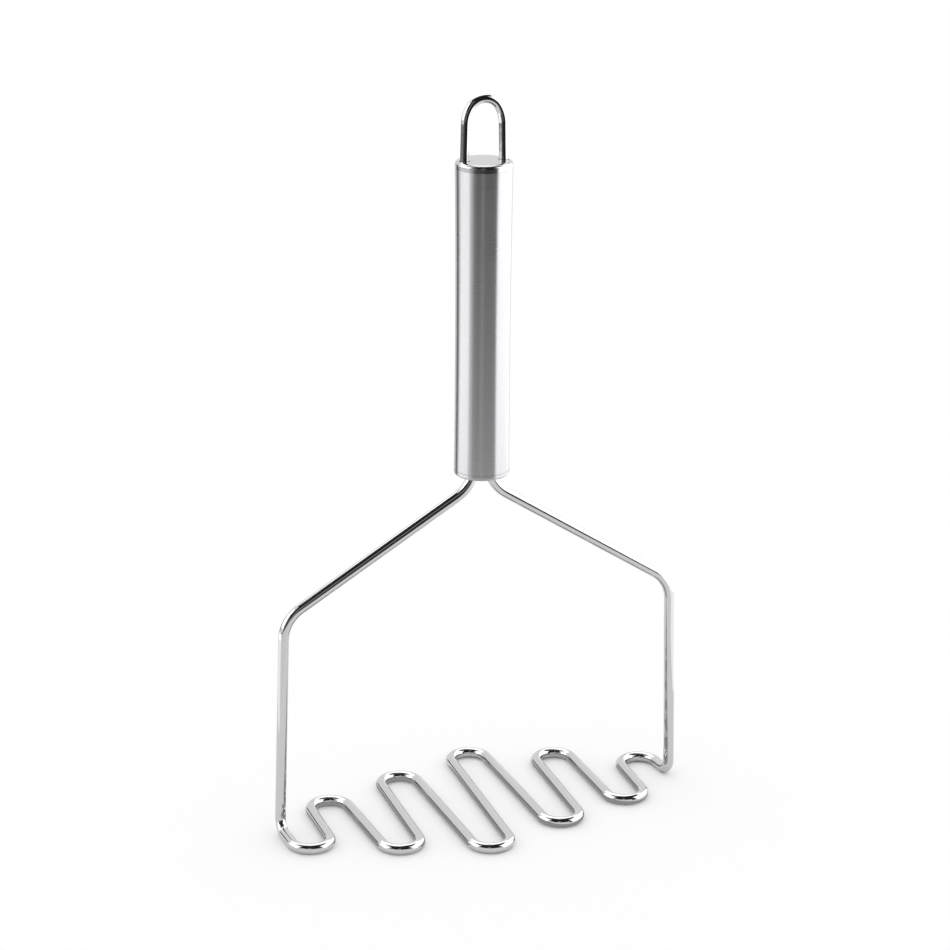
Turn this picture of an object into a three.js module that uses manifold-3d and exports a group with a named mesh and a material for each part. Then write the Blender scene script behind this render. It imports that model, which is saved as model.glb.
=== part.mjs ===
// Wire potato masher: one bent wire makes the frame and the wavy foot, and a closed tube is its handle.
// Millimetres, +Z up. The foot stands on z = 0, the handle's axis is the Z axis and the frame lies in y = 0.
import * as THREE from "three";
import { mergeVertices } from "three/addons/utils/BufferGeometryUtils.js";
import Module from "manifold-3d";

const wasm = await Module();
wasm.setup();

// Masher wire
const WIRE_DIAMETER = 4;
const BASE_BEND_RADIUS = 5.5; // upright into foot, centreline
const SHOULDER_BEND_RADIUS = 14;
const NECK_BEND_RADIUS = 15;
const SHOULDER_HEIGHT = 84; // where the straights of slope and upright would meet
const SHOULDER_INSET = 3.5; // each upright leans in by this much from foot to shoulder
const NECK_DROP = 4.1; // from the handle's underside down to where leg and slope would meet
const LEG_GAP = 1.2; // between the two legs inside the handle
const LEG_DEPTH = 18; // how far the legs run up inside the handle

// Foot
const TURN_RADIUS = 7.3; // centreline of every turn
const TURN_PITCH = 15.9; // sideways step from one turn to the next
const FOOT_TWIST = THREE.MathUtils.degToRad(2.4); // the foot is turned this much from the shoulders' plane
const BASE_OUTSET = 0.6; // the uprights stand this far outside the end turns
const FRONT_REACH = [13.4, 24.6, 34.3, 22.1, 11.5]; // each turn's centre, out from the foot's middle line
const BACK_REACH = [10.6, 23.2, 35.6, 24.6, 10.1];
const FRONT_DRIFT = [0.3, -0.1, 0.1, 0.9, -0.1]; // each turn's place off the even pitch, as the bender left it
const BACK_DRIFT = [-0.8, -0.4, 0.8, 0.9, -0.6];

// Handle
const HANDLE_BASE_HEIGHT = 134.2; // its underside above the ground
const HANDLE_LENGTH = 117.6;
const HANDLE_TOP_DIAMETER = 21;
const HANDLE_WAIST_DIAMETER = 20.1;
const HANDLE_BASE_DIAMETER = 20.5;
const WAIST_HEIGHT = 47; // above the handle's underside
const TUBE_WALL = 0.8;
const CAP_PLATE = 1.2; // thickness of the flat end of each cap
const TOP_EDGE_RADIUS = 1.3;
const TOP_BAND = 1.3; // straight side of the top cap below its rounded edge
const BASE_EDGE_RADIUS = 1;
const BASE_BAND = 1;
const SEAM_GAP = 0.05; // between a cap's rim and the tube's end

// Hanging loop
const LOOP_WIRE_DIAMETER = 3.3;
const LOOP_WALL_GAP = 0.75; // from a leg's foot to the tube's inside
const LOOP_SPACING = 14.1; // between the legs' centrelines where the arch begins
const LOOP_HEIGHT = 22.2; // cap face to the arch's centreline
const LOOP_ARCH_HEIGHT = 9.2; // the arch is taller than a half circle
const LOOP_DEPTH = 5; // legs below the cap's face

// Fits and welds
const HOLE_CLEARANCE = 0.3; // around a wire, on the radius
const LOOP_BEAD = 1.6; // a bead's leg length around a loop wire
const LEG_BEAD = 2.4; // the bead's height and its reach around the masher legs
const BEAD_CLEARANCE = 0.2;

// Facets
const WIRE_SIDES = 12;
const LATHE_SIDES = 40;
const ARC_STEP = THREE.MathUtils.degToRad(18);
const EDGE_STEPS = 4;
const WAIST_STEPS = 8;

const wireRadius = WIRE_DIAMETER / 2;
const loopRadius = LOOP_WIRE_DIAMETER / 2;
const handleTop = HANDLE_BASE_HEIGHT + HANDLE_LENGTH;
const legX = wireRadius + LEG_GAP / 2;
const loopFootX = HANDLE_TOP_DIAMETER / 2 - TUBE_WALL - LOOP_WALL_GAP - loopRadius;
const vec = (x, y, z) => new THREE.Vector3(x, y, z);

// ---- Materials ----

const steel = (name, color, roughness) =>
  new THREE.MeshStandardMaterial({ name, color, roughness, metalness: 1 });
const polishedWire = steel("polished_wire", 0xc9c9cb, 0.08);
const satinTube = steel("satin_tube", 0xb4b4b6, 0.32);
const polishedCap = steel("polished_cap", 0xcdcdce, 0.12);
const weldMetal = steel("weld_metal", 0x8f8b86, 0.5);

// ---- Bent wires ----

// A wire's centreline as stations: a straight needs only its two ends, and an arc has one every ARC_STEP.
class WireLine extends THREE.Curve {
  constructor(stations, levelIndex) {
    super();
    this.stations = stations;
    this.levelIndex = levelIndex; // a station where the wire runs level, so its section has a true underside
  }

  getPoint(t) {
    return this.stations[Math.round(t * (this.stations.length - 1))].clone();
  }

  getPointAt(t) {
    return this.getPoint(t);
  }

  heading(i) {
    const { stations } = this;
    const before = stations[Math.max(i - 1, 0)];
    const after = stations[Math.min(i + 1, stations.length - 1)];
    const into = stations[i].clone().sub(before).normalize();
    const out = after.clone().sub(stations[i]).normalize();
    return into.add(out).normalize();
  }

  // Section axes carried both ways from the level station, turning with the wire and never about it.
  computeFrenetFrames() {
    const tangents = this.stations.map((_, i) => this.heading(i));
    const binormals = [];
    binormals[this.levelIndex] = vec(0, 0, 1);
    const carry = (from, to) => {
      const turn = new THREE.Quaternion().setFromUnitVectors(tangents[from], tangents[to]);
      binormals[to] = binormals[from].clone().applyQuaternion(turn);
    };
    for (let i = this.levelIndex; i > 0; i--) carry(i, i - 1);
    for (let i = this.levelIndex; i < tangents.length - 1; i++) carry(i, i + 1);
    const normals = tangents.map((t, i) => binormals[i].clone().cross(t));
    return { tangents, normals, binormals };
  }
}

function arc(start, centre, axis, angle) {
  const count = Math.ceil(angle / ARC_STEP);
  return Array.from({ length: count + 1 }, (_, i) =>
    start.clone().sub(centre).applyAxisAngle(axis, (angle * i) / count).add(centre),
  );
}

// Arc stations that round off the corner between two straights.
function bend(before, corner, after, radius) {
  const into = corner.clone().sub(before).normalize();
  const out = after.clone().sub(corner).normalize();
  const angle = into.angleTo(out);
  const axis = into.clone().cross(out).normalize();
  const start = corner.clone().addScaledVector(into, -radius * Math.tan(angle / 2));
  const centre = start.clone().addScaledVector(axis.clone().cross(into), radius);
  return arc(start, centre, axis, angle);
}

// Round wire of the given radius along a line. Flats of its many-sided section touch the true circle.
function sweep(line, radius) {
  const corner = radius / Math.cos(Math.PI / WIRE_SIDES);
  const outline = Array.from({ length: WIRE_SIDES }, (_, i) => {
    const angle = ((i + 0.5) * 2 * Math.PI) / WIRE_SIDES;
    return new THREE.Vector2(corner * Math.cos(angle), corner * Math.sin(angle));
  });
  const steps = line.stations.length - 1;
  return new THREE.ExtrudeGeometry(new THREE.Shape(outline), { steps, extrudePath: line });
}

// ---- Cutting and joining ----

function solid(geometry) {
  const bare = geometry.index ? geometry.toNonIndexed() : geometry.clone();
  bare.deleteAttribute("normal");
  bare.deleteAttribute("uv");
  const merged = mergeVertices(bare, 1e-3);
  const triVerts = new Uint32Array(merged.index.array);
  return new wasm.Manifold(
    new wasm.Mesh({ numProp: 3, vertProperties: merged.attributes.position.array, triVerts }),
  );
}

function geometryOf(manifold) {
  const { vertProperties, triVerts } = manifold.getMesh();
  const geometry = new THREE.BufferGeometry();
  geometry.setAttribute("position", new THREE.BufferAttribute(new Float32Array(vertProperties), 3));
  geometry.setIndex(new THREE.BufferAttribute(new Uint32Array(triVerts), 1));
  const flat = geometry.toNonIndexed();
  flat.computeVertexNormals();
  return flat;
}

// Turned shape about the Z axis from [radius, height] points, lowest first and outer side upwards.
function turned(points) {
  const profile = points.map(([r, z]) => new THREE.Vector2(r, z));
  return new THREE.LatheGeometry(profile, LATHE_SIDES).rotateX(Math.PI / 2);
}

// ---- Masher wire ----

// A point of the foot's plan, twisted with the foot.
const footPoint = (x, y) => new THREE.Vector2(x, y).rotateAround(new THREE.Vector2(), FOOT_TWIST);
const turnCount = FRONT_REACH.length + BACK_REACH.length;
const turnX = (index, drift) => (index - (turnCount - 1) / 2) * TURN_PITCH + drift;
const turns = FRONT_REACH.flatMap((reach, i) => [
  { at: footPoint(turnX(2 * i, FRONT_DRIFT[i]), -reach), radius: TURN_RADIUS, sense: 1 },
  { at: footPoint(turnX(2 * i + 1, BACK_DRIFT[i]), BACK_REACH[i]), radius: TURN_RADIUS, sense: -1 },
]);
const endDrift = Math.max(-FRONT_DRIFT[0], BACK_DRIFT.at(-1));
const baseX = turnX(turnCount - 1, endDrift) + TURN_RADIUS + BASE_OUTSET;

// Heading of the straight that leaves one turn and meets the next, sense 1 being anticlockwise.
function straightHeading(from, to) {
  const step = to.at.clone().sub(from.at);
  const offset = to.sense * to.radius - from.sense * from.radius;
  return step.angle() - Math.asin(offset / step.length());
}

function footStations() {
  const stand = (side) => ({ at: footPoint(side * baseX, 0), radius: 0, sense: 1 });
  const stops = [stand(-1), ...turns, stand(1)];
  return turns.flatMap((turn, i) => {
    const arriving = straightHeading(stops[i], turn);
    const leaving = straightHeading(turn, stops[i + 2]);
    const swept = THREE.MathUtils.euclideanModulo(turn.sense * (leaving - arriving), 2 * Math.PI);
    const count = Math.ceil(swept / ARC_STEP);
    return Array.from({ length: count + 1 }, (_, k) => {
      const heading = arriving + (turn.sense * swept * k) / count;
      const out = turn.sense * turn.radius;
      return vec(turn.at.x + out * Math.sin(heading), turn.at.y - out * Math.cos(heading), wireRadius);
    });
  });
}

// From the leg's end inside the handle down to the bend above the foot. side is -1 left, 1 right.
function frameStations(side, footEnd) {
  const stand = footPoint(side * baseX, 0);
  const end = vec(side * legX, 0, HANDLE_BASE_HEIGHT + LEG_DEPTH);
  const neck = vec(side * legX, 0, HANDLE_BASE_HEIGHT - NECK_DROP);
  const shoulder = vec(side * (baseX - SHOULDER_INSET), 0, SHOULDER_HEIGHT);
  const base = vec(stand.x, stand.y, wireRadius);
  return [
    end,
    ...bend(end, neck, shoulder, NECK_BEND_RADIUS),
    ...bend(neck, shoulder, base, SHOULDER_BEND_RADIUS),
    ...bend(shoulder, base, footEnd, BASE_BEND_RADIUS),
  ];
}

const foot = footStations();
const leftFrame = frameStations(-1, foot[0]);
const rightFrame = frameStations(1, foot.at(-1)).reverse();
const masherLine = new WireLine([...leftFrame, ...foot, ...rightFrame], leftFrame.length + 1);

// ---- Hanging loop ----

// A three-centred arch: a wide arc up each side runs into a tighter one over the top.
function loopLine() {
  const halfWidth = LOOP_SPACING / 2;
  const spring = handleTop + LOOP_HEIGHT - LOOP_ARCH_HEIGHT; // where the legs run into the arch
  const sideRadius = LOOP_ARCH_HEIGHT ** 2 / halfWidth;
  const spare = sideRadius - LOOP_ARCH_HEIGHT;
  const rise = ((sideRadius - halfWidth) ** 2 - spare ** 2) / (2 * spare); // to the top arc's centre
  const sideAngle = Math.asin(rise / (spare + rise));
  const across = vec(0, 1, 0);
  const sideArc = arc(vec(-halfWidth, 0, spring), vec(sideRadius - halfWidth, 0, spring), across, sideAngle);
  const topArc = arc(sideArc.at(-1), vec(0, 0, spring + rise), across, Math.PI / 2 - sideAngle);
  const foot = [handleTop - LOOP_DEPTH, handleTop].map((z) => vec(-loopFootX, 0, z));
  const left = [...foot, ...sideArc, ...topArc.slice(1)];
  const right = left.slice(0, -1).reverse().map((p) => vec(-p.x, p.y, p.z));
  return new WireLine([...left, ...right], left.length - 1);
}
const hangingLine = loopLine();

// ---- Handle ----

// The tube's outer radius at a height above the handle's underside: two parabolas that meet at the waist.
function handleRadius(height) {
  const above = height > WAIST_HEIGHT;
  const span = above ? HANDLE_LENGTH - WAIST_HEIGHT : WAIST_HEIGHT;
  const end = above ? HANDLE_TOP_DIAMETER : HANDLE_BASE_DIAMETER;
  const share = (height - WAIST_HEIGHT) / span;
  return (HANDLE_WAIST_DIAMETER + (end - HANDLE_WAIST_DIAMETER) * share ** 2) / 2;
}

function tubeGeometry() {
  const low = BASE_EDGE_RADIUS + BASE_BAND + SEAM_GAP;
  const high = HANDLE_LENGTH - TOP_EDGE_RADIUS - TOP_BAND - SEAM_GAP;
  const heights = Array.from({ length: WAIST_STEPS + 1 }, (_, i) => low + ((high - low) * i) / WAIST_STEPS);
  const outer = heights.map((h) => [handleRadius(h), HANDLE_BASE_HEIGHT + h]);
  const inner = outer.map(([r, z]) => [r - TUBE_WALL, z]).reverse();
  return turned([...outer, ...inner, outer[0]]);
}

// A shallow cup: flat end at height 0, rounded edge, straight band, open at the far side. up is 1 or -1.
function cupProfile(radius, edgeRadius, band, up) {
  const depth = edgeRadius + band;
  const edge = Array.from({ length: EDGE_STEPS + 1 }, (_, i) => {
    const angle = (Math.PI / 2) * (i / EDGE_STEPS);
    return [radius - edgeRadius * (1 - Math.sin(angle)), edgeRadius * (1 - Math.cos(angle))];
  });
  const inside = radius - TUBE_WALL;
  const points = [[0, 0], ...edge, [radius, depth], [inside, depth], [inside, CAP_PLATE], [0, CAP_PLATE]];
  return up > 0 ? points : points.map(([r, z]) => [r, -z]).reverse();
}

const wireCutter = solid(sweep(masherLine, wireRadius + HOLE_CLEARANCE));
const loopCutter = solid(sweep(hangingLine, loopRadius + HOLE_CLEARANCE));

function baseCap() {
  const profile = cupProfile(HANDLE_BASE_DIAMETER / 2, BASE_EDGE_RADIUS, BASE_BAND, 1);
  const cup = turned(profile).translate(0, 0, HANDLE_BASE_HEIGHT);
  return geometryOf(solid(cup).subtract(wireCutter));
}

function topCap() {
  const profile = cupProfile(HANDLE_TOP_DIAMETER / 2, TOP_EDGE_RADIUS, TOP_BAND, -1);
  const cup = turned(profile).translate(0, 0, handleTop);
  return geometryOf(solid(cup).subtract(loopCutter));
}

// ---- Welds inside the handle ----

// A low dome with its flat side at height 0: quarter-ellipse profile.
function dome(radius, height) {
  const points = Array.from({ length: EDGE_STEPS + 1 }, (_, i) => {
    const angle = (Math.PI / 2) * (i / EDGE_STEPS);
    return [radius * Math.cos(angle), height * Math.sin(angle)];
  });
  points[EDGE_STEPS][0] = 0;
  return turned([[0, 0], ...points]);
}

function legWeld() {
  const reach = legX + wireRadius + LEG_BEAD;
  const bead = dome(reach, LEG_BEAD).translate(0, 0, HANDLE_BASE_HEIGHT + CAP_PLATE + SEAM_GAP);
  return geometryOf(solid(bead).subtract(wireCutter));
}

// Bead under the top cap round one leg of the loop, cut back where it would reach the tube.
function loopWeld(side) {
  const underside = handleTop - CAP_PLATE - SEAM_GAP;
  const bead = dome(loopRadius + LOOP_BEAD, LOOP_BEAD).rotateX(Math.PI);
  bead.translate(side * loopFootX, 0, underside);
  const bore = HANDLE_TOP_DIAMETER / 2 - TUBE_WALL - BEAD_CLEARANCE;
  const room = new THREE.CylinderGeometry(bore, bore, 2 * LOOP_BEAD, LATHE_SIDES).rotateX(Math.PI / 2);
  room.translate(0, 0, underside);
  return geometryOf(solid(bead).subtract(loopCutter).intersect(solid(room)));
}

// ---- Assembly ----

const masher = new THREE.Group();
masher.name = "potato_masher";

function addPart(name, geometry, material) {
  const mesh = new THREE.Mesh(geometry, material);
  mesh.name = name;
  masher.add(mesh);
}

addPart("masher_wire", sweep(masherLine, wireRadius), polishedWire);
addPart("handle_tube", tubeGeometry(), satinTube);
addPart("handle_base_cap", baseCap(), satinTube);
addPart("handle_top_cap", topCap(), polishedCap);
addPart("hanging_loop", sweep(hangingLine, loopRadius), polishedWire);
addPart("leg_weld", legWeld(), weldMetal);
addPart("loop_weld_left", loopWeld(-1), weldMetal);
addPart("loop_weld_right", loopWeld(1), weldMetal);

export default masher;
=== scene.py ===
# %% [markdown]
# # A wire potato masher
# The masher is one bent steel wire, a closed steel tube for a handle and a thinner wire loop to hang it
# by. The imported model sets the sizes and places. Here each visible piece is made again to those sizes with
# a fine, smooth surface, because a reflection shows every facet, and its box is compared with the packed
# one. Then it gets the finish that it has on the real thing.

import math

import bmesh
import bpy
from mathutils import Matrix, Vector


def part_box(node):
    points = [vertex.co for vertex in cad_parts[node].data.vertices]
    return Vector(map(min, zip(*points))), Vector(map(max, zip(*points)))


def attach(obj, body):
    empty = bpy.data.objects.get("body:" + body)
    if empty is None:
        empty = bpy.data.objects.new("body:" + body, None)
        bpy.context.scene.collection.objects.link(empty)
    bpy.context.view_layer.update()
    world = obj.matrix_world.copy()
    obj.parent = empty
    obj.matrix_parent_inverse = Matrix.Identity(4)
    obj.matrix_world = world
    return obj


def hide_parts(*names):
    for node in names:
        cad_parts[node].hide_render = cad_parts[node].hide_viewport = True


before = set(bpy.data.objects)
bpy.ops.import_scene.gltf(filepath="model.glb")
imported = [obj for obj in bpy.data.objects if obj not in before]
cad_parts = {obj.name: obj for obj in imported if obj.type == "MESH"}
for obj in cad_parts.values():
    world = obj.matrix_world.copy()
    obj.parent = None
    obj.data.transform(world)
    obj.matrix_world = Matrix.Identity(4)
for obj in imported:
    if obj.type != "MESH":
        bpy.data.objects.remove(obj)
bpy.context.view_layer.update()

# %% [markdown]
# ## Camera
# A long lens about a metre away keeps the uprights nearly parallel. The camera looks at the middle of the
# object from a direction given by two angles, so its three axes are worked out from those and put in a
# matrix. That is steadier than a tracking constraint, because the slight roll stays exact.

# %% Camera
CAMERA_AZIMUTH = math.radians(-17.41)
CAMERA_ELEVATION = math.radians(18.70)
CAMERA_ROLL = math.radians(0.43)
CAMERA_DISTANCE = 1.0541
CAMERA_LENS = 108.17
AIM_HEIGHT = 0.1334
AIM_LEFT = 0.0024

level = Vector((math.cos(CAMERA_AZIMUTH), math.sin(CAMERA_AZIMUTH), 0))
towards_camera = Vector((
    math.sin(CAMERA_AZIMUTH) * math.cos(CAMERA_ELEVATION),
    -math.cos(CAMERA_AZIMUTH) * math.cos(CAMERA_ELEVATION),
    math.sin(CAMERA_ELEVATION),
))
rightward = Matrix.Rotation(CAMERA_ROLL, 3, towards_camera) @ level
upward = towards_camera.cross(rightward)
aim = Vector((0, 0, AIM_HEIGHT)) - AIM_LEFT * level

camera = bpy.data.objects.new("camera", bpy.data.cameras.new("camera"))
camera.data.lens = CAMERA_LENS
turn = Matrix((rightward, upward, towards_camera)).transposed().to_4x4()
camera.matrix_world = Matrix.Translation(aim + CAMERA_DISTANCE * towards_camera) @ turn
bpy.context.scene.collection.objects.link(camera)
bpy.context.scene.camera = camera
print("camera at", [round(x, 3) for x in camera.location])

# %% [markdown]
# ## Sizes
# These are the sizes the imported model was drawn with, in millimetres. Only TOP_FACE and TOP_SLOPE are new:
# they shape the slight sloping margin of the top cap's face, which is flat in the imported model. Every piece
# below is modelled in millimetres too, and is scaled to metres once, when it is turned into an object.

# %% Sizes of the masher wire
WIRE_RADIUS = 2.0
BASE_BEND_RADIUS = 5.5  # upright into foot; bend radii are those of the centreline
SHOULDER_BEND_RADIUS = 14.0
NECK_BEND_RADIUS = 15.0
SHOULDER_HEIGHT = 84.0  # where the straights of slope and upright would meet
SHOULDER_INSET = 3.5  # each upright leans in by this much from foot to shoulder
NECK_DROP = 4.1  # from the handle's underside down to where leg and slope would meet
LEG_X = 2.6  # each leg's centreline, out from the handle's axis
LEG_DEPTH = 18.0  # how far the legs run up inside the handle
print("wire", 2 * WIRE_RADIUS, "mm thick, shoulders", SHOULDER_HEIGHT, "mm up")

# %% Sizes of the foot
TURN_RADIUS = 7.3  # centreline of every turn
TURN_PITCH = 15.9  # sideways step from one turn to the next
FOOT_TWIST = math.radians(2.4)  # the foot is turned this much from the frame
BASE_OUTSET = 0.6  # the uprights stand this far outside the end turns
FRONT_REACH = [13.4, 24.6, 34.3, 22.1, 11.5]  # each turn's centre, out from the foot's middle line
BACK_REACH = [10.6, 23.2, 35.6, 24.6, 10.1]
FRONT_DRIFT = [0.3, -0.1, 0.1, 0.9, -0.1]  # each turn's place off the even pitch
BACK_DRIFT = [-0.8, -0.4, 0.8, 0.9, -0.6]
print("reach in front", FRONT_REACH, "and behind", BACK_REACH)

# %% Sizes of the handle and its loop
HANDLE_BASE = 134.2
HANDLE_LENGTH = 117.6
HANDLE_TOP = HANDLE_BASE + HANDLE_LENGTH
TOP_RADIUS = 10.5
WAIST_RADIUS = 10.05
BASE_RADIUS = 10.25
WAIST_HEIGHT = 47.0  # above the handle's underside
TUBE_WALL = 0.8
CAP_PLATE = 1.2  # thickness of the flat end of each cap
TOP_EDGE = 1.3  # radius of the top cap's rounded edge
TOP_BAND = 1.3  # straight side of the top cap below its rounded edge
TOP_FACE = 8.7  # radius of the flat middle of the top cap's face
TOP_SLOPE = math.radians(10)  # slope of the margin around it
BASE_EDGE = 1.0
BASE_BAND = 1.0
SEAM = 0.05  # between a cap's rim and the tube's end
LOOP_RADIUS = 1.65
LOOP_FOOT_X = 7.3  # each leg's foot, out from the handle's axis
LOOP_HALF_WIDTH = 7.05  # the same where the arch begins
LOOP_HEIGHT = 22.2  # cap face to the arch's centreline
LOOP_ARCH = 9.2  # the arch is taller than a half circle
LOOP_DEPTH = 5.0  # legs below the cap's face
HOLE_CLEARANCE = 0.3  # around a wire, on the radius
print("handle from", HANDLE_BASE, "to", round(HANDLE_TOP, 1), "mm up")

# %% [markdown]
# ## From bmesh to a piece
# Each piece ends the same way: metres, smooth shading with true corners kept sharp, and normals weighted
# by face area, so that a flat face next to a rounded edge stays flat in its reflections. Then the piece is
# tied to the imported model: it rides on the one body, the imported part it replaces is hidden, and the two
# boxes are compared.

# %% Helper that puts a bmesh in the scene
def new_object(bm, name):
    mesh = bpy.data.meshes.new(name)
    bm.to_mesh(mesh)
    bm.free()
    made = bpy.data.objects.new(name, mesh)
    bpy.context.scene.collection.objects.link(made)
    return made


# %% Helper that finishes a piece
TRUE_CORNER = math.radians(35)


def finish_piece(bm, name, node):
    bmesh.ops.scale(bm, vec=(0.001, 0.001, 0.001), verts=bm.verts)
    piece = new_object(bm, name)
    mesh = piece.data
    mesh.shade_smooth()
    mesh.set_sharp_from_angle(angle=TRUE_CORNER)
    piece.modifiers.new("even_normals", "WEIGHTED_NORMAL").keep_sharp = True
    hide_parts(node)
    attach(piece, "root")
    corners = [Vector(c) for c in piece.bound_box]
    low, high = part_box(node)
    off = max(
        max(abs(min(c[i] for c in corners) - low[i]), abs(max(c[i] for c in corners) - high[i]))
        for i in range(3)
    )
    print(f"{name}: {len(mesh.polygons)} faces, box within {1000 * off:.2f} mm of {node}")
    return piece

# %% [markdown]
# ## Bending wire
# A wire bender does two things: it feeds the wire straight on, and it bends it round a pin. The helper
# below does the same to a ring of edges: feeding is an extrude and a move, and bending is a spin about the
# pin. A curve with a bevel would be shorter to write, but the spin keeps every bend a true arc.

# %% Helper that feeds and bends a wire
WIRE_SIDES = 40
BEND_STEP = math.radians(6)


class BentWire:
    def __init__(self, radius, start, heading):
        self.bm = bmesh.new()
        self.at = start.copy()
        place = Matrix.Translation(start) @ heading.to_track_quat("Z", "Y").to_matrix().to_4x4()
        ring = bmesh.ops.create_circle(self.bm, segments=WIRE_SIDES, radius=radius, matrix=place)
        self.ring = list({e for v in ring["verts"] for e in v.link_edges})

    def feed(self, to):
        grown = bmesh.ops.extrude_edge_only(self.bm, edges=self.ring)["geom"]
        moved = [g for g in grown if isinstance(g, bmesh.types.BMVert)]
        bmesh.ops.translate(self.bm, verts=moved, vec=to - self.at)
        self.ring = [
            g for g in grown
            if isinstance(g, bmesh.types.BMEdge) and all(v in moved for v in g.verts)
        ]
        self.at = to.copy()

    def bend(self, pin, axis, angle):
        steps = max(2, math.ceil(angle / BEND_STEP))
        verts = list({v for e in self.ring for v in e.verts})
        spun = bmesh.ops.spin(
            self.bm, geom=verts + self.ring, cent=pin, axis=axis, angle=angle, steps=steps,
        )["geom_last"]
        self.ring = [g for g in spun if isinstance(g, bmesh.types.BMEdge)]
        self.at = pin + Matrix.Rotation(angle, 3, axis) @ (self.at - pin)

    def close(self):
        ends = [e for e in self.bm.edges if e.is_boundary]
        bmesh.ops.holes_fill(self.bm, edges=ends, sides=0)
        bmesh.ops.recalc_face_normals(self.bm, faces=self.bm.faces)
        return self.bm

# %% [markdown]
# ## Laying out the foot
# Seen from above the foot is a belt that weaves round ten equal pins, five in front and five behind. The
# straight between two pins is their common tangent. Its direction follows from the step between the pins
# and the sum of their radii, as the arcsine below, and it leaves each pin at a right angle to that radius.

# %% The foot's ten pins
def foot_point(x, y):
    return Matrix.Rotation(FOOT_TWIST, 2) @ Vector((x, y))


TURN_COUNT = len(FRONT_REACH) + len(BACK_REACH)


def turn_x(index, drift):
    return (index - (TURN_COUNT - 1) / 2) * TURN_PITCH + drift


pins = []
for i in range(len(FRONT_REACH)):
    pins.append((foot_point(turn_x(2 * i, FRONT_DRIFT[i]), -FRONT_REACH[i]), TURN_RADIUS, 1))
    pins.append((foot_point(turn_x(2 * i + 1, BACK_DRIFT[i]), BACK_REACH[i]), TURN_RADIUS, -1))
base_x = turn_x(TURN_COUNT - 1, max(-FRONT_DRIFT[0], BACK_DRIFT[-1])) + TURN_RADIUS + BASE_OUTSET
left_base, right_base = foot_point(-base_x, 0), foot_point(base_x, 0)
print("pins:", [[round(x, 1) for x in at] for at, _, _ in pins])

# %% The foot's turns, each with where it starts, its pin, axis and angle
def straight_heading(one, other):
    step = other[0] - one[0]
    offset = other[2] * other[1] - one[2] * one[1]
    return math.atan2(step.y, step.x) - math.asin(offset / step.length)


def on_pin(pin, heading):
    at, radius, sense = pin
    out = sense * radius
    return Vector((at.x + out * math.sin(heading), at.y - out * math.cos(heading), WIRE_RADIUS))


stops = [(left_base, 0, 1), *pins, (right_base, 0, 1)]
turns = []
for before, pin, after in zip(stops, pins, stops[2:]):
    arriving, leaving = straight_heading(before, pin), straight_heading(pin, after)
    angle = (pin[2] * (leaving - arriving)) % (2 * math.pi)
    centre = pin[0].to_3d() + Vector((0, 0, WIRE_RADIUS))
    turns.append((on_pin(pin, arriving), centre, Vector((0, 0, pin[2])), angle))
print("turns bend by", [round(math.degrees(t[3])) for t in turns], "degrees")

# %% [markdown]
# ## Laying out the frame
# Each side of the frame is a line of corners: leg, neck, shoulder and base. A corner between two straights
# is rounded by a pin that touches both, so the bend starts at radius times the tangent of half its angle
# before the corner.

# %% The bend that rounds a corner
def corner_bend(before, corner, after, radius):
    into, out = (corner - before).normalized(), (after - corner).normalized()
    angle = into.angle(out)
    axis = into.cross(out).normalized()
    start = corner - into * radius * math.tan(angle / 2)
    return start, start + axis.cross(into) * radius, axis, angle


def frame_corners(side, base):
    return [
        Vector((side * LEG_X, 0, HANDLE_BASE + LEG_DEPTH)),
        Vector((side * LEG_X, 0, HANDLE_BASE - NECK_DROP)),
        Vector((side * (base_x - SHOULDER_INSET), 0, SHOULDER_HEIGHT)),
        Vector((base.x, base.y, WIRE_RADIUS)),
    ]


last_turn = BentWire(WIRE_RADIUS, turns[-1][0], Vector((0, 0, 1)))
last_turn.bend(*turns[-1][1:])
left = [*frame_corners(-1, left_base), turns[0][0]]
right = [last_turn.at, *reversed(frame_corners(1, right_base))]
last_turn.bm.free()
frame_radii = [NECK_BEND_RADIUS, SHOULDER_BEND_RADIUS, BASE_BEND_RADIUS]

# %% Bend the masher wire
bends = [corner_bend(*left[i:i + 3], frame_radii[i]) for i in range(3)]
bends += turns
bends += [corner_bend(*right[i:i + 3], frame_radii[2 - i]) for i in range(3)]
wire = BentWire(WIRE_RADIUS, left[0], left[1] - left[0])
for start, pin, axis, angle in bends:
    wire.feed(start)
    wire.bend(pin, axis, angle)
wire.feed(right[-1])
masher_wire = finish_piece(wire.close(), "bent_masher_wire", "masher_wire")

# %% [markdown]
# ## The hanging loop
# The loop is a thinner wire. Its top is a three-centred arch: a wide arc up each side that runs into a
# tighter one over the top, which is what a wire does when it is pressed round a narrow former.

# %% Bend the loop
spring = HANDLE_TOP + LOOP_HEIGHT - LOOP_ARCH
side_radius = LOOP_ARCH ** 2 / LOOP_HALF_WIDTH
spare = side_radius - LOOP_ARCH
rise = ((side_radius - LOOP_HALF_WIDTH) ** 2 - spare ** 2) / (2 * spare)
side_angle = math.asin(rise / (spare + rise))
across = Vector((0, 1, 0))

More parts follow.
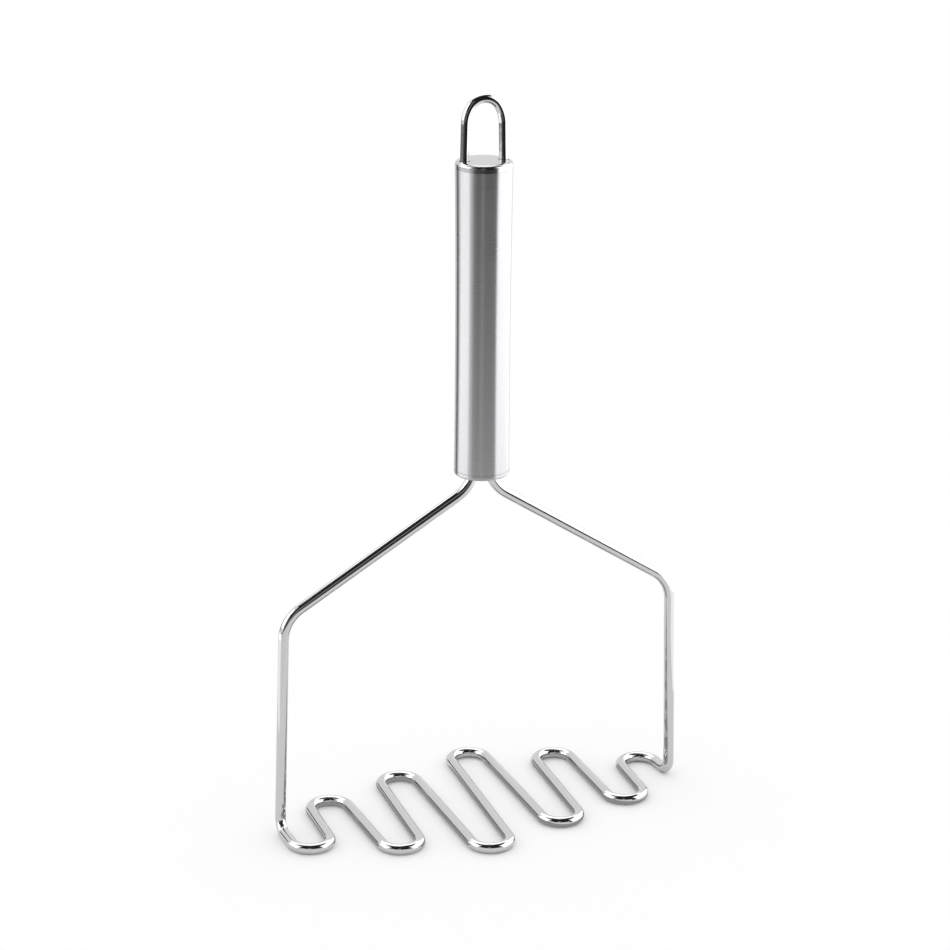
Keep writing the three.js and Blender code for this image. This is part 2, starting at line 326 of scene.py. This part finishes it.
loop = BentWire(LOOP_RADIUS, Vector((-LOOP_FOOT_X, 0, HANDLE_TOP - LOOP_DEPTH)), Vector((0, 0, 1)))
loop.feed(Vector((-LOOP_FOOT_X, 0, HANDLE_TOP)))
loop.feed(Vector((-LOOP_HALF_WIDTH, 0, spring)))
loop.bend(Vector((side_radius - LOOP_HALF_WIDTH, 0, spring)), across, side_angle)
loop.bend(Vector((0, 0, spring + rise)), across, math.pi - 2 * side_angle)
loop.bend(Vector((LOOP_HALF_WIDTH - side_radius, 0, spring)), across, side_angle)
loop.feed(Vector((LOOP_FOOT_X, 0, HANDLE_TOP)))
loop.feed(Vector((LOOP_FOOT_X, 0, HANDLE_TOP - LOOP_DEPTH)))
hanging_loop = finish_piece(loop.close(), "bent_hanging_loop", "hanging_loop")

# %% [markdown]
# ## Turned pieces
# The tube and both caps are round, so each is an outline spun once about the handle's axis. The full spin
# merges its last ring with its first, and points on the axis are merged afterwards, which closes the
# poles.

# %% Helper that spins an outline
SPIN_STEPS = 128


def turned(outline, closed):
    bm = bmesh.new()
    verts = [bm.verts.new((r, 0, z)) for r, z in outline]
    pairs = list(zip(verts, verts[1:])) + ([(verts[-1], verts[0])] if closed else [])
    edges = [bm.edges.new(pair) for pair in pairs]
    bmesh.ops.spin(
        bm, geom=verts + edges, cent=(0, 0, 0), axis=(0, 0, 1), angle=2 * math.pi,
        steps=SPIN_STEPS, use_merge=True,
    )
    bmesh.ops.remove_doubles(bm, verts=bm.verts, dist=1e-4)
    bmesh.ops.recalc_face_normals(bm, faces=bm.faces)
    return bm


def ring_edges(bm, radius, height):
    def on_ring(v):
        return abs(math.hypot(v.co.x, v.co.y) - radius) < 1e-3 and abs(v.co.z - height) < 1e-3
    return [e for e in bm.edges if all(on_ring(v) for v in e.verts)]


def round_edge(bm, radius, height, width, segments):
    bmesh.ops.bevel(
        bm, geom=ring_edges(bm, radius, height), offset=width, offset_type="OFFSET",
        affect="EDGES", segments=segments, profile=0.5, material=-1,
    )

# %% [markdown]
# ## The handle tube
# The tube narrows a little below its middle, which is easier to grip than a straight one. The outline
# follows two shallow parabolas that meet at the waist, with a tiny round on each outer end for the seam.

# %% Spin the handle tube
TUBE_RINGS = 32
TUBE_END_ROUND = 0.08


def handle_radius(height):
    above = height > WAIST_HEIGHT
    span = HANDLE_LENGTH - WAIST_HEIGHT if above else WAIST_HEIGHT
    end = TOP_RADIUS if above else BASE_RADIUS
    return WAIST_RADIUS + (end - WAIST_RADIUS) * ((height - WAIST_HEIGHT) / span) ** 2


low, high = BASE_EDGE + BASE_BAND + SEAM, HANDLE_LENGTH - TOP_EDGE - TOP_BAND - SEAM
heights = [low + (high - low) * i / TUBE_RINGS for i in range(TUBE_RINGS + 1)]
outer = [(handle_radius(h), HANDLE_BASE + h) for h in heights]
inner = [(r - TUBE_WALL, z) for r, z in reversed(outer)]
tube = turned(outer + inner, closed=True)
for r, z in (outer[0], outer[-1]):
    round_edge(tube, r, z, TUBE_END_ROUND, 2)
handle_tube = finish_piece(tube, "waisted_handle_tube", "handle_tube")

# %% [markdown]
# ## The caps
# Each cap is a shallow cup pressed from sheet. The top cap's face is flat in the middle and has a narrow
# margin that slopes down to the rim, with a small round where the two meet. The rim is rounded with a
# bevel rather than drawn in the outline, because the bevel's width can be changed by one number. The holes
# for the wires are cut with a Boolean modifier, which is applied at once so that the piece holds its real
# shape.

# %% Helper that drills holes
DRILL_LENGTH = 8


def drilled(bm, holes, radius, height):
    bits = bmesh.new()
    for x in holes:
        bmesh.ops.create_cone(
            bits, cap_ends=True, segments=48, radius1=radius, radius2=radius, depth=DRILL_LENGTH,
            matrix=Matrix.Translation((x, 0, height)),
        )
    cup, drill = new_object(bm, "cup"), new_object(bits, "bits")
    modifier = cup.modifiers.new("drill", "BOOLEAN")
    modifier.operation, modifier.solver, modifier.object = "DIFFERENCE", "EXACT", drill
    bpy.context.view_layer.update()
    cut = bmesh.new()
    cut.from_mesh(cup.evaluated_get(bpy.context.evaluated_depsgraph_get()).data)
    bpy.data.objects.remove(cup)
    bpy.data.objects.remove(drill)
    return cut

# %% Helper that draws a cap's outline
PAST_ROUND = 0.1  # the side has a ring this far past the rim's round, so that the bevel has room to end


def cup_outline(radius, fall, edge, band, base, up):
    inside, depth = radius - TUBE_WALL, edge + band
    face = [(0, 0), (TOP_FACE, 0)] if fall else [(0, 0)]
    side = [(radius, fall), (radius, edge + PAST_ROUND), (radius, depth)]
    points = [*face, *side, (inside, depth), (inside, CAP_PLATE), (0, CAP_PLATE)]
    return [(r, base + up * z) for r, z in points]

# %% Press and drill the top cap
FACE_ROUND = 0.25

top_fall = (TOP_RADIUS - TOP_FACE) * math.tan(TOP_SLOPE)
top = turned(cup_outline(TOP_RADIUS, top_fall, TOP_EDGE, TOP_BAND, HANDLE_TOP, -1), closed=False)
round_edge(top, TOP_RADIUS, HANDLE_TOP - top_fall, TOP_EDGE - top_fall, 10)
round_edge(top, TOP_FACE, HANDLE_TOP, FACE_ROUND, 3)
top = drilled(top, (-LOOP_FOOT_X, LOOP_FOOT_X), LOOP_RADIUS + HOLE_CLEARANCE, HANDLE_TOP)
top_cap = finish_piece(top, "pressed_top_cap", "handle_top_cap")

# %% Press and drill the base cap
base = turned(cup_outline(BASE_RADIUS, 0, BASE_EDGE, BASE_BAND, HANDLE_BASE, 1), closed=False)
round_edge(base, BASE_RADIUS, HANDLE_BASE, BASE_EDGE, 8)
base = drilled(base, (-LEG_X, LEG_X), WIRE_RADIUS + HOLE_CLEARANCE, HANDLE_BASE)
base_cap = finish_piece(base, "pressed_base_cap", "handle_base_cap")

# %% [markdown]
# ## Building materials
# A material here is a Principled shader with a few nodes in front of it. One helper adds any node, sets
# its values and makes its links. Colours are written as the sRGB hex values of a paint chart, and one
# function turns them into the linear numbers that the shader works in.

# %% Helpers for materials
MILLIMETRES = (1000, 1000, 1000)


def linear(hex_colour):
    shares = [int(hex_colour[i:i + 2], 16) / 255 for i in (1, 3, 5)]
    return [s / 12.92 if s <= 0.04045 else ((s + 0.055) / 1.055) ** 2.4 for s in shares] + [1.0]


def add_node(tree, kind, inputs, **settings):
    node = tree.nodes.new(kind)
    for name, value in settings.items():
        setattr(node, name, value)
    for socket, value in inputs.items():
        if isinstance(value, bpy.types.NodeSocket):
            tree.links.new(value, node.inputs[socket])
        else:
            node.inputs[socket].default_value = value
    return node


def new_material(name):
    material = bpy.data.materials.new(name)
    material.use_nodes = True
    material.node_tree.nodes.clear()
    return material, material.node_tree


def pattern_space(tree, scale):
    place = add_node(tree, "ShaderNodeTexCoord", {})
    return add_node(tree, "ShaderNodeMapping", {"Vector": place.outputs["Object"], "Scale": scale}).outputs[0]


def output(tree, shader):
    add_node(tree, "ShaderNodeOutputMaterial", {"Surface": shader.outputs[0]})


def paint(piece, material):
    piece.data.materials.clear()
    piece.data.materials.append(material)
    print(piece.name, "is", material.name)

# %% [markdown]
# ## Polished wire
# The wire is drawn stainless steel, bent and then electropolished. The eye sees a near mirror whose
# reflections run along the wire. Drawing leaves the surface very slightly wavy over several millimetres,
# so the reflections are not perfectly straight, and handling leaves faint patches that are a little
# duller.

# %% Electropolished stainless wire
electropolished, tree = new_material("electropolished_stainless_wire")
millimetres = pattern_space(tree, MILLIMETRES)
waves = add_node(tree, "ShaderNodeTexNoise", {"Vector": millimetres, "Scale": 0.22, "Detail": 1.0})
drawn = add_node(tree, "ShaderNodeBump", {"Height": waves.outputs[0], "Strength": 1.0, "Distance": 0.00002})
patches = add_node(tree, "ShaderNodeTexNoise", {"Vector": millimetres, "Scale": 0.9, "Detail": 4.0})
dulling = add_node(tree, "ShaderNodeMapRange", {
    "Value": patches.outputs[0], "From Min": 0.3, "From Max": 0.75, "To Min": 0.06, "To Max": 0.11})
steel = add_node(tree, "ShaderNodeBsdfPrincipled", {
    "Base Color": linear("#C7C6C7"), "Metallic": 1.0, "Roughness": dulling.outputs[0],
    "Normal": drawn.outputs[0]})
output(tree, steel)
paint(masher_wire, electropolished)
paint(hanging_loop, electropolished)

# %% [markdown]
# ## Satin tube
# The tube is stainless steel brushed on a turning lathe with a fine abrasive belt. The scratches run round
# it, and round the base cap too, so light spreads up and down but hardly at all sideways: the reflections
# of the room stay as crisp upright bands and lose all detail along the handle. In the shader that is
# anisotropy with its tangent taken round the Z axis. The real scratches are some hundredths of a
# millimetre apart, too fine to show, so they are drawn at about 0.4 mm.

# %% Satin stainless tube
satin, tree = new_material("satin_stainless_tube")
stretch = pattern_space(tree, (60, 60, 2600))
scratches = add_node(tree, "ShaderNodeTexNoise", {"Vector": stretch, "Scale": 1.0, "Detail": 3.0})
grain = add_node(tree, "ShaderNodeBump", {
    "Height": scratches.outputs[0], "Strength": 0.5, "Distance": 0.0000015})
handled = pattern_space(tree, (90, 90, 60))
smudges = add_node(tree, "ShaderNodeTexNoise", {"Vector": handled, "Scale": 1.0, "Detail": 3.0})
both = add_node(tree, "ShaderNodeMath", {0: scratches.outputs[0], 1: smudges.outputs[0]}, operation="ADD")
dulling = add_node(tree, "ShaderNodeMapRange", {
    "Value": both.outputs[0], "From Min": 0.6, "From Max": 1.4, "To Min": 0.26, "To Max": 0.33})
round_axis = add_node(tree, "ShaderNodeTangent", {}, direction_type="RADIAL", axis="Z")
steel = add_node(tree, "ShaderNodeBsdfPrincipled", {
    "Base Color": linear("#B6B6B8"), "Metallic": 1.0, "Roughness": dulling.outputs[0],
    "Anisotropic": 0.9, "Anisotropic Rotation": 0.25,
    "Normal": grain.outputs[0], "Tangent": round_axis.outputs[0]})
output(tree, steel)
paint(handle_tube, satin)
paint(base_cap, satin)

# %% [markdown]
# ## Polished cap
# The top cap is buffed after it is fitted. Its face and its band are bright but less sharp than the wire,
# with faint patches that are a little duller.

# %% Buffed stainless cap
buffed, tree = new_material("buffed_stainless_cap")
millimetres = pattern_space(tree, MILLIMETRES)
marks = add_node(tree, "ShaderNodeTexNoise", {"Vector": millimetres, "Scale": 1.6, "Detail": 5.0})
dulling = add_node(tree, "ShaderNodeMapRange", {
    "Value": marks.outputs[0], "From Min": 0.3, "From Max": 0.7, "To Min": 0.15, "To Max": 0.21})
steel = add_node(tree, "ShaderNodeBsdfPrincipled", {
    "Base Color": linear("#BBBABC"), "Metallic": 1.0, "Roughness": dulling.outputs[0]})
output(tree, steel)
paint(top_cap, buffed)

# %% [markdown]
# ## Weld metal
# The welds are inside the handle. A bead that is left as welded is dull, rippled and tinted straw to brown
# by heat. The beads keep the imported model's shape, and only get this finish.

# %% Bare weld bead
weld, tree = new_material("bare_weld_bead")
millimetres = pattern_space(tree, MILLIMETRES)
ripples = add_node(tree, "ShaderNodeTexNoise", {"Vector": millimetres, "Scale": 1.5, "Detail": 4.0})
lumps = add_node(tree, "ShaderNodeBump", {"Height": ripples.outputs[0], "Strength": 0.6, "Distance": 0.0002})
tint = add_node(tree, "ShaderNodeValToRGB", {"Fac": ripples.outputs[0]})
tint.color_ramp.elements[0].color = linear("#8E8A84")
tint.color_ramp.elements[1].color = linear("#9C8462")
steel = add_node(tree, "ShaderNodeBsdfPrincipled", {
    "Base Color": tint.outputs["Color"], "Metallic": 1.0, "Roughness": 0.5, "Normal": lumps.outputs[0]})
output(tree, steel)
for name in ("leg_weld", "loop_weld_left", "loop_weld_right"):
    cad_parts[name].material_slots[0].material = weld
    print(name, "is", weld.name)

# %% [markdown]
# ## Floor and light
# Polished steel has hardly any look of its own: it shows the studio. The floor and the even white light
# all round are what the plain picture needs, and they alone would make the steel flat grey. So the studio
# also holds cards: black ones in front and overhead, white ones at the sides. A card is a wall or a sheet
# spun about the middle of the table, and only reflections see it, so it neither shades the floor nor shows
# in the picture from any side.

# %% Floor and even light
FLOOR_RADIUS = 14

floor_mesh = bmesh.new()
bmesh.ops.create_circle(floor_mesh, cap_ends=True, segments=96, radius=FLOOR_RADIUS)
floor = new_object(floor_mesh, "floor")
print("floor", 2 * FLOOR_RADIUS, "m across")

pale, tree = new_material("pale_matt_floor")
output(tree, add_node(tree, "ShaderNodeBsdfDiffuse", {"Color": linear("#FAFAFA")}))
floor.data.materials.append(pale)

world = bpy.data.worlds.new("studio")
world.use_nodes = True
bpy.context.scene.world = world
world.node_tree.nodes["Background"].inputs["Color"].default_value = (1, 1, 1, 1)
world.node_tree.nodes["Background"].inputs["Strength"].default_value = 1.05
bpy.context.scene.view_settings.view_transform = "Standard"

# %% Helper that hangs a card
def card(name, from_azimuth, to_azimuth, inner, outer, brightness, depth=1.0):
    """inner and outer are (distance, height) in metres; azimuth 0 is in front, 90 to the right.
    depth below 1 squeezes the card from front to back into an oval."""
    bm = bmesh.new()
    start = Matrix.Rotation(math.radians(from_azimuth), 3, "Z")
    verts = [bm.verts.new(start @ Vector((0, -distance, height))) for distance, height in (inner, outer)]
    edge = bm.edges.new(verts)
    bmesh.ops.spin(
        bm, geom=[*verts, edge], cent=(0, 0, 0), axis=(0, 0, 1),
        angle=math.radians(to_azimuth - from_azimuth), steps=max(2, round((to_azimuth - from_azimuth) / 5)),
    )
    bmesh.ops.scale(bm, vec=(1, depth, 1), verts=bm.verts)
    hung = new_object(bm, name)
    hung.visible_camera = hung.visible_diffuse = hung.visible_shadow = hung.visible_transmission = False
    glow, tree = new_material(name)
    output(tree, add_node(tree, "ShaderNodeEmission", {"Strength": brightness}))
    hung.data.materials.append(glow)
    print(f"{name}: {to_azimuth - from_azimuth} degrees wide, brightness {brightness}")

# %% [markdown]
# The front makes the dark core of the handle and the wires, because that is what their middle faces. It is
# nearly black, with a paler gap and a paler left end that put lighter lines into that core.

# %% Hang the front cards
card("dark_front", -68, 38, (2.0, -0.05), (2.0, 3.6), 0.02)
card("dark_front_gap", -27, -14, (1.98, -0.05), (1.98, 1.8), 0.3)
card("grey_front_left", -62, -48, (1.98, -0.05), (1.98, 0.9), 0.45)
card("pale_front_left", -76, -62, (1.98, -0.05), (1.98, 0.9), 0.9)

# %% [markdown]
# Upright steel also reflects the table. Its front end is dark, and a little less dark near the masher. A
# low pale wall close by shows in the lower front of the foot's turns, and a small grey oval stands for the
# shade within the foot.

# %% Lay the front table cards
card("dark_table_end", -60, 38, (0.55, 0.004), (2.0, 0.004), 0.02)
card("dim_table_end", -60, 38, (0.46, 0.005), (1.0, 0.005), 0.1)
card("dim_table_gap", -27, -14, (0.46, 0.006), (1.0, 0.006), 0.2)
card("dim_table_far_left", -60, -30, (1.0, 0.005), (2.0, 0.005), 0.1)
card("low_fill", -62, 30, (0.23, 0.0), (0.23, 0.07), 0.95)
card("shaded_middle", 0, 360, (0.0, 0.0005), (0.072, 0.0005), 0.42, depth=0.5)

# %% [markdown]
# The ceiling is black towards the front and white towards the back, for the lines along the tops of wires.

# %% Hang the ceiling cards
card("dark_ceiling", -128, 128, (0.0, 3.0), (2.1, 3.0), 0.03)
card("white_ceiling", 128, 232, (0.7, 2.9), (2.1, 2.9), 1.9)

# %% [markdown]
# White walls and white tables at both sides give the bright edges. The left table ends in grey a metre
# out, which darkens the side of the loop's legs.

# %% Hang the side cards
card("white_right", 45, 132, (1.8, 0.0), (1.8, 2.2), 2.4)
card("white_table_right_near", 42, 132, (0.16, 0.002), (0.4, 0.002), 1.45)
card("white_table_right", 42, 132, (0.4, 0.002), (1.8, 0.002), 2.2)
card("white_left", -128, -76, (1.8, 0.25), (1.8, 1.8), 2.8)
card("white_table_left_near", -128, -75, (0.2, 0.002), (0.35, 0.002), 1.4)
card("white_table_left", -128, -75, (0.35, 0.002), (1.06, 0.002), 2.3)
card("grey_table_left", -145, -58, (1.07, 0.003), (1.8, 0.003), 0.25)

# %% [markdown]
# Behind, a dark strip at the left draws a thin line down the left edge of the steel, and a high white wall
# closes the studio.

# %% Hang the back cards
card("dark_left_edge", -155, -138, (1.9, 0.0), (1.9, 0.35), 0.06)
card("dark_table_left_edge", -155, -138, (0.3, 0.003), (1.9, 0.003), 0.04)
card("white_back", 140, 220, (1.8, 1.4), (1.8, 2.9), 2.4)
